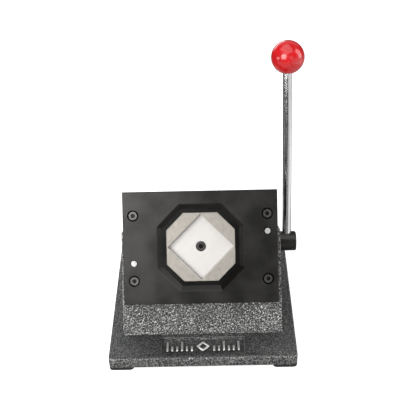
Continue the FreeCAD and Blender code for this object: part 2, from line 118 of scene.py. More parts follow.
def panel_corners(shallow, deep):
    """Points of the base's sunk panel that lie between two depths below its top."""
    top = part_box("base_plate")[1][2]
    half_panel = 60 * MM
    return [p for p in corners("base_plate") if shallow < top - p.z < deep
            and abs(p.x - middle("base_plate").x) < half_panel]


def die_centre():
    """The middle of the die on the front plate's face."""
    low, high = reach("front_plate", LEAN_UP)
    front = reach("front_plate", LEAN_OUT)[1]
    return ACROSS * middle("front_plate").x + LEAN_UP * (low + high) / 2 + LEAN_OUT * front


# ---- mesh helpers ----
def put(bm, name, body, finish, replaces=()):
    """Makes an object of the mesh, hides the frame's nodes that it replaces and hangs it on its body."""
    bmesh.ops.remove_doubles(bm, verts=bm.verts, dist=1e-7)
    bmesh.ops.recalc_face_normals(bm, faces=bm.faces)
    mesh = bpy.data.meshes.new(name)
    bm.to_mesh(mesh)
    bm.free()
    piece = bpy.data.objects.new(name, mesh)
    bpy.context.scene.collection.objects.link(piece)
    mesh.shade_smooth()
    mesh.set_sharp_from_angle(angle=SHARP_ANGLE)
    mesh.materials.append(finish)
    if replaces:
        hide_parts(*replaces)
    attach(piece, body)
    return piece


def rounded_ring(centre, half_x, half_y, radius, z, steps=6):
    """Points of a rectangle with round corners, counter-clockwise from the right."""
    points = []
    for k, (side_x, side_y) in enumerate(((1, 1), (-1, 1), (-1, -1), (1, -1))):
        x = centre[0] + side_x * (half_x - radius)
        y = centre[1] + side_y * (half_y - radius)
        for i in range(steps + 1):
            angle = math.radians(90 * (k + i / steps))
            points.append(Vector((x + radius * math.cos(angle), y + radius * math.sin(angle), z)))
    return points


def circle(centre, radius, z, steps=24):
    """Points of a level circle."""
    angles = [math.tau * k / steps for k in range(steps)]
    return [Vector((centre[0] + radius * math.cos(a), centre[1] + radius * math.sin(a), z))
            for a in angles]


def skin(bm, rings):
    """Quads between rings that have the same number of points; gives back their vertices."""
    made = [[bm.verts.new(p) for p in ring] for ring in rings]
    for lower, upper in zip(made, made[1:]):
        for k in range(len(lower)):
            after = (k + 1) % len(lower)
            bm.faces.new((lower[k], lower[after], upper[after], upper[k]))
    return made


def fill(bm, *loops):
    """One flat face between an outer loop of vertices and the holes in it."""
    edges = []
    for loop in loops:
        for k, vert in enumerate(loop):
            after = loop[(k + 1) % len(loop)]
            edge = bm.edges.get((vert, after)) or bm.edges.new((vert, after))
            edges.append(edge)
    bmesh.ops.triangle_fill(bm, use_beauty=True, edges=edges)


def lathe(bm, profile, origin, axis, steps):
    """Turns (radius, height) points about an axis; a radius of 0 closes the end."""
    turn = Vector((0, 0, 1)).rotation_difference(axis)
    rings = []
    for radius, height in profile:
        if radius == 0:
            rings.append([bm.verts.new(origin + turn @ Vector((0, 0, height)))])
            continue
        ring = circle((0, 0), radius, height, steps)
        rings.append([bm.verts.new(origin + turn @ p) for p in ring])
    for lower, upper in zip(rings, rings[1:]):
        for k in range(steps):
            after = (k + 1) % steps
            quad = [lower[k % len(lower)], lower[after % len(lower)],
                    upper[after % len(upper)], upper[k % len(upper)]]
            bm.faces.new(list(dict.fromkeys(quad)))


def sweep(bm, path, radii, sides):
    """A round tube along a path, with its own radius at each point and closed ends."""
    rings = []
    side = None
    for k, point in enumerate(path):
        before, after = path[max(k - 1, 0)], path[min(k + 1, len(path) - 1)]
        along = (after - before).normalized()
        if side is None:
            side = along.orthogonal().normalized()
        side = (side - along * side.dot(along)).normalized()
        other = along.cross(side)
        angles = [math.tau * i / sides for i in range(sides)]
        rings.append([point + (side * math.cos(a) + other * math.sin(a)) * radii[k]
                      for a in angles])
    made = skin(bm, rings)
    bm.faces.new(made[0])
    bm.faces.new(made[-1])


def round_end_stroke(bm, path, radius):
    """A tube with half-ball ends."""
    start = (path[0] - path[1]).normalized()
    end = (path[-1] - path[-2]).normalized()
    caps = [math.radians(a) for a in (80, 60, 40, 20)]
    head = [(path[0] + start * radius * math.sin(a), radius * math.cos(a)) for a in caps]
    tail = [(path[-1] + end * radius * math.sin(a), radius * math.cos(a)) for a in reversed(caps)]
    points = [p for p, _ in head] + list(path) + [p for p, _ in tail]
    radii = [r for _, r in head] + [radius] * len(path) + [r for _, r in tail]
    sweep(bm, points, radii, sides=12)


RUBBED_AND_SHEEN = "rubbed_and_sheen"


def rub_and_sheen(piece, share):
    """Marks at each point, by a function of its place, how much the paint is worn to bare metal; the same share
    also paints a highlight there.
    """
    marks = piece.data.attributes.new(RUBBED_AND_SHEEN, "FLOAT", "POINT")
    for spot, vert in zip(marks.data, piece.data.vertices):
        spot.value = share(vert.co)


# ---- shader helpers ----
def link(tree, source, target):
    tree.links.new(source, target)


def shader_node(tree, kind, settings=None, inputs=None):
    """Adds a node, sets its options and fills its sockets with values or links."""
    made = tree.nodes.new(kind)
    for name, value in (settings or {}).items():
        setattr(made, name, value)
    for name, value in (inputs or {}).items():
        socket = made.inputs[name]
        if isinstance(value, bpy.types.NodeSocket):
            tree.links.new(value, socket)
        else:
            socket.default_value = value
    return made


def maths(tree, operation, first, second=0.0):
    made = shader_node(tree, "ShaderNodeMath", {"operation": operation}, {0: first, 1: second})
    return made.outputs[0]


def remap(tree, value, low, high, to_low, to_high):
    """Eases a value from one range to another and holds it at both ends."""
    made = shader_node(tree, "ShaderNodeMapRange", {"interpolation_type": "SMOOTHSTEP"},
                       {"Value": value, "From Min": low, "From Max": high,
                        "To Min": to_low, "To Max": to_high})
    return made.outputs["Result"]


def new_group(name, inputs, outputs):
    """An empty group with its sockets; inputs are (name, kind, default)."""
    group = bpy.data.node_groups.new(name, "ShaderNodeTree")
    for label, kind, default in inputs:
        socket = group.interface.new_socket(label, in_out="INPUT", socket_type=kind)
        if default is not None:
            socket.default_value = default
    for label, kind in outputs:
        group.interface.new_socket(label, in_out="OUTPUT", socket_type=kind)
    return group, group.nodes.new("NodeGroupInput"), group.nodes.new("NodeGroupOutput")


def place_group(tree, group, inputs):
    return shader_node(tree, "ShaderNodeGroup", {"node_tree": group}, inputs)


FLOAT, VECTOR, COLOR = "NodeSocketFloat", "NodeSocketVector", "NodeSocketColor"


def hammer_pattern():
    """The dimples and ridges of hammered paint, this many millimetres apart."""
    name = "hammer_pattern"
    if name in bpy.data.node_groups:
        return bpy.data.node_groups[name]
    group, given, out = new_group(
        name, [("Vector", VECTOR, None), ("Spacing", FLOAT, 2.4)],
        [("Height", FLOAT), ("Crests", FLOAT), ("Patches", FLOAT)])
    scale = maths(group, "DIVIDE", 1 / MM, given.outputs["Spacing"])
    scaled = shader_node(group, "ShaderNodeVectorMath", {"operation": "SCALE"},
                         {0: given.outputs["Vector"], "Scale": scale}).outputs[0]
    swell = shader_node(group, "ShaderNodeTexNoise", None,
                        {"Vector": scaled, "Scale": 1.5, "Detail": 0.5, "Distortion": 0.5})
    ripple = remap(group, swell.outputs["Fac"], 0.28, 0.72, 0.0, 1.0)
    cells = shader_node(group, "ShaderNodeTexVoronoi", {"feature": "SMOOTH_F1"},
                        {"Vector": scaled, "Scale": 1.05, "Smoothness": 0.35})
    cell = remap(group, cells.outputs["Distance"], 0.1, 0.8, 0.0, 1.0)
    both = maths(group, "ADD", maths(group, "MULTIPLY", ripple, 0.6),
                 maths(group, "MULTIPLY", cell, 0.4))
    patches = shader_node(group, "ShaderNodeTexNoise", None,
                          {"Vector": scaled, "Scale": 0.06, "Detail": 2.0})
    link(group, both, out.inputs["Height"])
    link(group, remap(group, both, 0.46, 0.76, 0.0, 1.0), out.inputs["Crests"])
    link(group, patches.outputs["Fac"], out.inputs["Patches"])
    return group


def mottle():
    """Uneven patches and fine specks, both from 0 to 1."""
    name = "mottle"
    if name in bpy.data.node_groups:
        return bpy.data.node_groups[name]
    group, given, out = new_group(
        name, [("Vector", VECTOR, None), ("Patch size", FLOAT, 20.0), ("Speck size", FLOAT, 0.6)],
        [("Patches", FLOAT), ("Specks", FLOAT)])
    for label, source, detail in (("Patches", "Patch size", 3.0), ("Specks", "Speck size", 2.0)):
        scale = maths(group, "DIVIDE", 1 / MM, given.outputs[source])
        noise = shader_node(group, "ShaderNodeTexNoise", None,
                            {"Vector": given.outputs["Vector"], "Scale": scale, "Detail": detail})
        link(group, remap(group, noise.outputs["Fac"], 0.3, 0.7, 0.0, 1.0), out.inputs[label])
    return group


def grinding_lines():
    """Fine straight marks that run along one direction, from 0 to 1."""
    name = "grinding_lines"
    if name in bpy.data.node_groups:
        return bpy.data.node_groups[name]
    group, given, out = new_group(
        name, [("Vector", VECTOR, None), ("Along", VECTOR, (1, 0, 0)),
               ("Across", VECTOR, (0, 0, 1)), ("Spacing", FLOAT, 0.4), ("Length", FLOAT, 30.0)],
        [("Lines", FLOAT), ("Bands", FLOAT)])
    parts = []
    for direction, size in (("Across", "Spacing"), ("Along", "Length")):
        dot = shader_node(group, "ShaderNodeVectorMath", {"operation": "DOT_PRODUCT"},
                          {0: given.outputs["Vector"], 1: given.outputs[direction]})
        scale = maths(group, "DIVIDE", 1 / MM, given.outputs[size])
        parts.append(maths(group, "MULTIPLY", dot.outputs["Value"], scale))
    joined = shader_node(group, "ShaderNodeCombineXYZ", None, {"X": parts[0], "Y": parts[1]})
    fine = shader_node(group, "ShaderNodeTexNoise", None,
                       {"Vector": joined.outputs[0], "Scale": 1.0, "Detail": 4.0,
                        "Roughness": 0.7})
    wide = shader_node(group, "ShaderNodeTexNoise", None,
                       {"Vector": joined.outputs[0], "Scale": 0.12, "Detail": 2.0})
    link(group, remap(group, fine.outputs["Fac"], 0.3, 0.7, 0.0, 1.0), out.inputs["Lines"])
    link(group, remap(group, wide.outputs["Fac"], 0.35, 0.65, 0.0, 1.0), out.inputs["Bands"])
    return group


def hollows():
    """Painted shade that darkens corners and sockets, up to this many millimetres out."""
    name = "hollows"
    if name in bpy.data.node_groups:
        return bpy.data.node_groups[name]
    group, given, out = new_group(name, [("Reach", FLOAT, 4.0)], [("PaintedShade", FLOAT)])
    closeness = shader_node(group, "ShaderNodeAmbientOcclusion", {"samples": 8},
                            {"Distance": maths(group, "MULTIPLY", given.outputs["Reach"], MM)})
    link(group, remap(group, closeness.outputs["AO"], 0.35, 0.95, 1.0, 0.0), out.inputs["PaintedShade"])
    return group


def edge_wear():
    """Outer edges lightened partly as worn paint and partly as a painted highlight, broken up by a noise; the
    reach is in millimetres.
    """
    name = "edge_wear"
    if name in bpy.data.node_groups:
        return bpy.data.node_groups[name]
    group, given, out = new_group(
        name, [("Vector", VECTOR, None), ("Reach", FLOAT, 1.0), ("Break size", FLOAT, 3.0),
               ("Amount", FLOAT, 1.0)], [("WearAndSheen", FLOAT), ("Edge", FLOAT)])
    rounded = shader_node(group, "ShaderNodeBevel", {"samples": 6},
                          {"Radius": maths(group, "MULTIPLY", given.outputs["Reach"], MM)})
    facing = group.nodes.new("ShaderNodeNewGeometry").outputs["True Normal"]
    dot = shader_node(group, "ShaderNodeVectorMath", {"operation": "DOT_PRODUCT"},
                      {0: rounded.outputs["Normal"], 1: facing})
    edge = remap(group, dot.outputs["Value"], 0.8, 0.99, 1.0, 0.0)
    scale = maths(group, "DIVIDE", 1 / MM, given.outputs["Break size"])
    noise = shader_node(group, "ShaderNodeTexNoise", None,
                        {"Vector": given.outputs["Vector"], "Scale": scale, "Detail": 3.0})
    broken = remap(group, noise.outputs["Fac"], 0.35, 0.65, 0.15, 1.0)
    convex = shader_node(group, "ShaderNodeAmbientOcclusion", {"samples": 4},
                         {"Distance": maths(group, "MULTIPLY", given.outputs["Reach"], MM)})
    open_side = remap(group, convex.outputs["AO"], 0.75, 0.95, 0.0, 1.0)
    worn = maths(group, "MULTIPLY", maths(group, "MULTIPLY", edge, broken), open_side)
    link(group, maths(group, "MULTIPLY", worn, given.outputs["Amount"]), out.inputs["WearAndSheen"])
    link(group, maths(group, "MULTIPLY", edge, open_side), out.inputs["Edge"])
    return group


def new_material(name, settings):
    """A material with its Principled shader set, its tree and the object coordinates."""
    material = bpy.data.materials.new(name)
    material.use_nodes = True
    tree = material.node_tree
    shader = tree.nodes["Principled BSDF"]
    for label, value in settings.items():
        shader.inputs[label].default_value = value
    place = tree.nodes.new("ShaderNodeTexCoord").outputs["Object"]
    return material, tree, shader, place


def mixed(tree, factor, dark, light):
    """The first colour where the factor is 0, and the second where it is 1."""
    made = shader_node(tree, "ShaderNodeMix", {"data_type": "RGBA"},
                       {"Factor": factor, "A": dark, "B": light})
    return made.outputs["Result"]


def bump(tree, shader, height, strength, distance):
    """Turns a height from 0 to 1 into relief this many millimetres deep."""
    made = shader_node(tree, "ShaderNodeBump", None,
                       {"Height": height, "Strength": strength, "Distance": distance * MM})
    link(tree, made.outputs["Normal"], shader.inputs["Normal"])


def shade(colour, factor=1.0):
    return tuple(min(1.0, c * factor) for c in colour[:3]) + (1.0,)


def facing_out(tree):
    """1 where a face looks out along the punch's travel, and -1 where it looks back."""
    normal = tree.nodes["Texture Coordinate"].outputs["Normal"]
    made = shader_node(tree, "ShaderNodeVectorMath", {"operation": "DOT_PRODUCT"},
                       {0: normal, 1: tuple(LEAN_OUT)})
    return made.outputs["Value"]


def mottled(tree, place, patch_size, speck_size):
    """Uneven patches and fine specks of these sizes in millimetres."""
    made = place_group(tree, mottle(), {"Vector": place, "Patch size": patch_size,
                                        "Speck size": speck_size})
    return made.outputs["Patches"], made.outputs["Specks"]


# Colours of worn edges and places, which also serve as painted highlights, and of painted shade in corners,
# whatever paint or metal is chosen.
WORN_PAINT_AND_SHEEN = (0.62, 0.61, 0.59, 1)
BARE_METAL_AND_SHEEN = (0.68, 0.67, 0.65, 1)
BRIGHT_MARK_AND_SHEEN = (0.95, 0.94, 0.92, 1)
HOLLOW_SHADE_ON_PAINT = (0.012, 0.011, 0.010, 1)
HOLLOW_SHADE_ON_OXIDE = (0.004, 0.004, 0.004, 1)
WORN_OXIDE_AND_SHEEN = (0.22, 0.21, 0.2, 1)


# ---- finishes, one function each ----
def hammertone_paint(look, name="hammertone_paint", rubbed_and_sheen=0.0):
    """Hammered silver-grey paint; a share of it worn bright shows bare metal and also a painted highlight."""
    material, tree, shader, place = new_material(name, {"Metallic": 0.9})
    pattern = place_group(tree, hammer_pattern(),
                          {"Vector": place, "Spacing": look.hammer_spacing / MM})
    valleys = mixed(tree, pattern.outputs["Patches"], shade(look.hammer_colour, 0.85),
                    shade(look.hammer_colour, 1.15))
    # The paint levels itself on faces that look up, so its ridges are lower there.
    level = shader_node(tree, "ShaderNodeSeparateXYZ", None,
                        {0: tree.nodes["Texture Coordinate"].outputs["Normal"]}).outputs["Z"]
    settled = remap(tree, level, 0.75, 0.98, 1.0, look.settled)
    crests = maths(tree, "MULTIPLY", pattern.outputs["Crests"], settled)
    colour = mixed(tree, crests, valleys, shade(look.hammer_crest))
    # Worn edges, lightened partly as a painted highlight, then the places that hands and blanks have worn, also a
    # painted highlight, then painted shade in the corners.
    wear_and_sheen = place_group(tree, edge_wear(), {"Vector": place, "Reach": 1.3, "Break size": 3.0,
                                           "Amount": 0.45})
    colour = mixed(tree, wear_and_sheen.outputs["WearAndSheen"], colour, WORN_PAINT_AND_SHEEN)
    # Worn places on the base, lightened partly as bare metal and partly as a painted highlight.
    mark = tree.nodes.new("ShaderNodeAttribute")
    mark.attribute_name = RUBBED_AND_SHEEN
    patches, _ = mottled(tree, place, 2.2, 0.8)
    colour = mixed(tree, maths(tree, "MULTIPLY", mark.outputs["Fac"], patches), colour, BARE_METAL_AND_SHEEN)
    # The raised mark is painted near white, partly as worn metal and partly as a painted highlight on its strokes.
    if rubbed_and_sheen:
        colour = mixed(tree, rubbed_and_sheen, colour, BRIGHT_MARK_AND_SHEEN)
    # Painted shade: corners and hollows of the paint are darkened towards near black.
    hollow_shade_mask = place_group(tree, hollows(), {"Reach": 5.0})
    colour = mixed(tree, hollow_shade_mask.outputs["PaintedShade"], colour, HOLLOW_SHADE_ON_PAINT)
    link(tree, colour, shader.inputs["Base Color"])
    link(tree, remap(tree, pattern.outputs["Crests"], 0, 1, 0.4, 0.3), shader.inputs["Roughness"])
    flat_edge = remap(tree, wear_and_sheen.outputs["Edge"], 0.0, 0.6, 1.0, 0.2)
    height = maths(tree, "MULTIPLY", pattern.outputs["Height"],
                   maths(tree, "MULTIPLY", settled, flat_edge))
    bump(tree, shader, height, 1.0 - 0.8 * rubbed_and_sheen, 0.85)
    return material


def black_oxide(look, name="black_oxide", tone=1.0, shade_window=False):
    """Blackened steel with a satin face; when asked, the sunk faces of the front plate's opening are darkened as
    painted shade.
    """
    material, tree, shader, place = new_material(name, {"Metallic": 1.0})
    base = shade(look.oxide_colour, tone)
    patches, specks = mottled(tree, place, 24.0, 0.5)
    patchy = mixed(tree, patches, shade(base, 0.86), shade(base, 1.14))
    colour = mixed(tree, maths(tree, "MULTIPLY", specks, 0.25), patchy, shade(base, 1.7))
    if shade_window:
        # Painted shade: the sunk faces of the plate's opening, its flat step most, are darkened towards black.
        out_of = shader_node(tree, "ShaderNodeVectorMath", {"operation": "DOT_PRODUCT"},
                             {0: place, 1: tuple(LEAN_OUT)}).outputs["Value"]
        face = reach("front_plate", LEAN_OUT)[1]
        sunk = remap(tree, out_of, face - 1.5 * MM, face - 0.3 * MM, 1.0, 0.0)
        ledge_shade = remap(tree, facing_out(tree), 0.8, 0.95, 0.3, 0.75)
        colour = mixed(tree, maths(tree, "MULTIPLY", sunk, ledge_shade), colour, shade(base, 0.25))
    # Edges lightened partly as worn oxide and partly as a painted highlight.
    wear_and_sheen = place_group(tree, edge_wear(), {"Vector": place, "Reach": 0.6, "Break size": 6.0,
                                           "Amount": 0.35})
    colour = mixed(tree, wear_and_sheen.outputs["WearAndSheen"], colour, WORN_OXIDE_AND_SHEEN)
    # Painted shade: corners and sockets of the black steel are darkened towards black.
    hollow_shade_mask = place_group(tree, hollows(), {"Reach": 4.0})
    colour = mixed(tree, hollow_shade_mask.outputs["PaintedShade"], colour, HOLLOW_SHADE_ON_OXIDE)
    link(tree, colour, shader.inputs["Base Color"])
    link(tree, remap(tree, patches, 0, 1, 0.3, 0.36), shader.inputs["Roughness"])
    bump(tree, shader, specks, 0.08, 0.05)
    return material


def ground_steel(name, colour, along, across, rough, contrast, metal=0.9, lapped_and_lit=None,
                 stain=0.2):
    """Surface ground tool steel; the wheel's marks run along one direction.

    The colour given for lapping is made 1.35 times brighter, as painted light against the shade in the die's
    opening, and given to the faces that don't look along the punch's travel.
    """
    material, tree, shader, place = new_material(name, {"Metallic": metal, "IOR": 1.5})
    lines = place_group(tree, grinding_lines(),
                        {"Vector": place, "Along": along, "Across": across})
    patches, specks = mottled(tree, place, 5.0, 0.8)
    base = mixed(tree, lines.outputs["Lines"], shade(colour, 1 - contrast), shade(colour, 1.05))
    spread = maths(tree, "MULTIPLY", patches, specks)
    worn = mixed(tree, maths(tree, "MULTIPLY", spread, stain), base, shade(colour, 0.5))
    if lapped_and_lit:
        # Painted light: the opening's walls get a brighter, less metallic copy of the colour given for lapping,
        # which lifts their shade.
        away = maths(tree, "ABSOLUTE", facing_out(tree))
        walls = remap(tree, away, 0.4, 0.6, 1.0, 0.0)
        worn = mixed(tree, walls, worn, shade(lapped_and_lit, 1.35))
        link(tree, remap(tree, walls, 0, 1, metal, 0.1), shader.inputs["Metallic"])
    link(tree, worn, shader.inputs["Base Color"])
    link(tree, remap(tree, lines.outputs["Bands"], 0, 1, rough * 0.85, rough * 1.2),
         shader.inputs["Roughness"])
    bump(tree, shader, lines.outputs["Lines"], 0.15, 0.02)
    return material


def bright_steel(name, colour, rough):
    """Polished rod, springs and pins, with uneven patches left by polishing and handling."""
    material, tree, shader, place = new_material(name, {"Metallic": 1.0})
    patches, specks = mottled(tree, place, 14.0, 5.0)
    link(tree, mixed(tree, patches, shade(colour, 0.93), shade(colour)),
         shader.inputs["Base Color"])
    link(tree, remap(tree, specks, 0, 1, rough * 0.9, rough * 1.15), shader.inputs["Roughness"])
    return material


def dowel_steel():
    """Ground dowels whose end chamfers are painted near black, as painted shade."""
    material, tree, shader, place = new_material("dowel_steel", {"Metallic": 0.9})
    patches, specks = mottled(tree, place, 2.5, 0.4)
    ends = mixed(tree, patches, (0.42, 0.42, 0.4, 1), (0.6, 0.6, 0.57, 1))
    # Painted shade: the end chamfers are painted near black.
    chamfer_shade = remap(tree, facing_out(tree), 0.85, 0.97, 1.0, 0.0)
    link(tree, mixed(tree, chamfer_shade, ends, (0.05, 0.05, 0.05, 1)), shader.inputs["Base Color"])
    link(tree, remap(tree, specks, 0, 1, 0.35, 0.5), shader.inputs["Roughness"])
    return material


def sintered_bronze():
    """Bushes of pressed bronze, with open pores that hold oil."""
    material, tree, shader, place = new_material("sintered_bronze", {"Metallic": 0.9})
    patches, pores = mottled(tree, place, 6.0, 0.35)
    link(tree, mixed(tree, pores, (0.22, 0.13, 0.06, 1), (0.5, 0.34, 0.17, 1)),
         shader.inputs["Base Color"])
    link(tree, remap(tree, patches, 0, 1, 0.32, 0.5), shader.inputs["Roughness"])
    bump(tree, shader, pores, 0.25, 0.05)
    return material


def foot_rubber():
    """Black moulded rubber with a dusty bloom."""
    material, tree, shader, place = new_material("foot_rubber", {"IOR": 1.45})
    patches, grain = mottled(tree, place, 8.0, 0.4)
    link(tree, mixed(tree, patches, (0.012, 0.012, 0.012, 1), (0.028, 0.028, 0.027, 1)),
         shader.inputs["Base Color"])
    link(tree, remap(tree, grain, 0, 1, 0.6, 0.8), shader.inputs["Roughness"])
    bump(tree, shader, grain, 0.3, 0.06)
    return material


def knob_phenolic(look):
    """Glossy moulded plastic under a thin clear skin."""
    material, tree, shader, place = new_material(
        "knob_phenolic", {"IOR": 1.5, "Coat Weight": 0.3, "Coat Roughness": 0.04})
    patches, specks = mottled(tree, place, 11.0, 0.5)
    link(tree, mixed(tree, patches, shade(look.knob_colour, 0.9), shade(look.knob_colour, 1.08)),
         shader.inputs["Base Color"])
    link(tree, remap(tree, specks, 0, 1, 0.16, 0.26), shader.inputs["Roughness"])
    return material


PAINTS = {}


def paint(name):
    """The finish of this name, made the first time it is asked for."""
    if name not in PAINTS:
        look = bpy.context.scene.punch_look
        up, across = tuple(LEAN_UP), tuple(ACROSS)
        slant = tuple((ACROSS + LEAN_UP).normalized())
        counter = tuple((ACROSS - LEAN_UP).normalized())
        makers = {
            "hammertone": lambda: hammertone_paint(look),
            "rubbed_and_sheen_paint": lambda: hammertone_paint(look, "rubbed_and_sheen_paint", 0.85),
            "black_oxide": lambda: black_oxide(look),
            "plate_black_window_shade": lambda: black_oxide(look, "plate_black_window_shade", 1.0, True),
            "screw_black": lambda: black_oxide(look, "screw_black", 2.6),
            "dowel_steel": dowel_steel,
            "die_steel": lambda: ground_steel("die_steel", look.die_colour, up, across, 0.45, 0.1,
                                              0.6, look.punch_colour, 0.55),
            "punch_steel": lambda: ground_steel("punch_steel", look.punch_colour, slant, counter,
                                                0.5, 0.05, 0.35, None, 0.03),
            "ground_steel": lambda: ground_steel("ground_steel", (0.5, 0.49, 0.47), across, up,
                                                 0.35, 0.2),
            "polished_steel": lambda: bright_steel("polished_steel", (0.68, 0.68, 0.69), 0.14),
            "hardened_pin": lambda: bright_steel("hardened_pin", (0.5, 0.5, 0.47), 0.35),
            "spring_steel": lambda: bright_steel("spring_wire", (0.42, 0.42, 0.43), 0.25),
            "bronze": sintered_bronze,
            "rubber": foot_rubber,
            "red_knob": lambda: knob_phenolic(look),
        }
        PAINTS[name] = makers[name]()
    return PAINTS[name]


# ---- sizes and colours that a user would change ----
class PunchLook(bpy.types.PropertyGroup):
    """Colours and grain of the finishes."""
    hammer_colour: bpy.props.FloatVectorProperty(
        name="Hammered paint", description="Colour between the ridges", subtype="COLOR",
        default=(0.078, 0.081, 0.082), min=0, max=1)
    hammer_crest: bpy.props.FloatVectorProperty(
        name="Paint ridges", description="Colour on the ridges", subtype="COLOR",
        default=(0.41, 0.402, 0.388), min=0, max=1)
    settled: bpy.props.FloatProperty(
        name="Settled paint", description="Share of the ridges' height left on level faces",
        default=0.4, min=0, max=1, subtype="FACTOR")
    hammer_spacing: bpy.props.FloatProperty(
        name="Ridge spacing", description="Distance between the paint's ridges",
        default=1.9 * MM, min=0.5 * MM, max=10 * MM, precision=5, unit="LENGTH")
    oxide_colour: bpy.props.FloatVectorProperty(
        name="Black oxide", description="Colour of the blackened plates", subtype="COLOR",
        default=(0.042, 0.041, 0.0395), min=0, max=1)
    die_colour: bpy.props.FloatVectorProperty(
        name="Die steel", description="Colour of the ground die", subtype="COLOR",
        default=(0.41, 0.382, 0.34), min=0, max=1)
    punch_colour: bpy.props.FloatVectorProperty(
        name="Punch steel", description="Colour of the ground punch", subtype="COLOR",
        default=(0.64, 0.622, 0.6), min=0, max=1)
    knob_colour: bpy.props.FloatVectorProperty(
        name="Knob", description="Colour of the ball", subtype="COLOR",
        default=(0.58, 0.01, 0.014), min=0, max=1)


class PunchSizes(bpy.types.PropertyGroup):
    """Sizes of what is softened or added to the frame."""
    cast_radius: bpy.props.FloatProperty(
        name="Casting edge", description="Radius of the painted castings' edges",
        default=1.2 * MM, min=0.2 * MM, max=4 * MM, precision=5, unit="LENGTH")
    base_top_radius: bpy.props.FloatProperty(
        name="Base top edge", description="Radius round the base's top",
        default=1.7 * MM, min=0.5 * MM, max=5 * MM, precision=5, unit="LENGTH")
    base_corner: bpy.props.FloatProperty(
        name="Base corner", description="Radius of the base's four corners",
        default=4 * MM, min=3.2 * MM, max=20 * MM, precision=5, unit="LENGTH")
    wire: bpy.props.FloatProperty(
        name="Spring wire", description="Diameter of the return springs' wire",
        default=1.4 * MM, min=0.5 * MM, max=3 * MM, precision=5, unit="LENGTH")
    coils: bpy.props.FloatProperty(
        name="Coils", description="Turns of each return spring", default=5.0, min=2, max=12)
    mark_height: bpy.props.FloatProperty(
        name="Mark height", description="Height of the raised size mark",
        default=11.4 * MM, min=4 * MM, max=18 * MM, precision=5, unit="LENGTH")
    mark_stroke: bpy.props.FloatProperty(
        name="Mark stroke", description="Width of the raised mark's strokes",
        default=2.6 * MM, min=0.8 * MM, max=4 * MM, precision=5, unit="LENGTH")


class PunchStage(bpy.types.PropertyGroup):
    """Camera and floor."""
    camera_right: bpy.props.FloatProperty(
        name="Camera right", description="Camera's place right of the die",
        default=0.01746, unit="LENGTH")
    camera_front: bpy.props.FloatProperty(
        name="Camera in front", description="Camera's place in front of the die",
        default=0.65752, unit="LENGTH")
    camera_above: bpy.props.FloatProperty(
        name="Camera above", description="Camera's place above the die",
        default=0.55247, unit="LENGTH")
    look_down: bpy.props.FloatProperty(
        name="Looks down", description="Angle below level", subtype="ANGLE",
        default=math.radians(37.431))
    look_side: bpy.props.FloatProperty(
        name="Looks aside", description="Angle left of straight on", subtype="ANGLE",
        default=math.radians(0.575))
    camera_roll: bpy.props.FloatProperty(
        name="Camera roll", description="Tilt of the camera about its own axis", subtype="ANGLE",
        default=math.radians(-1.543))
    lens: bpy.props.FloatProperty(
        name="Lens", description="Focal length in millimetres", default=69.98, min=20, max=200)
    floor_colour: bpy.props.FloatVectorProperty(
        name="Floor", description="Colour of the floor", subtype="COLOR",
        default=(0.9, 0.9, 0.9), min=0, max=1)
    floor_glow: bpy.props.FloatProperty(
        name="Floor glow", description="Light from under the paper, which thins the shadows",
        default=0.6, min=0, max=2)
    floor_bounce: bpy.props.FloatProperty(
        name="Floor bounce", description="Share of the floor's light that reaches the object",
        default=0.5, min=0, max=1, subtype="FACTOR")


class Builder:
    """What every operator here shares."""
    bl_options = {"REGISTER", "UNDO"}


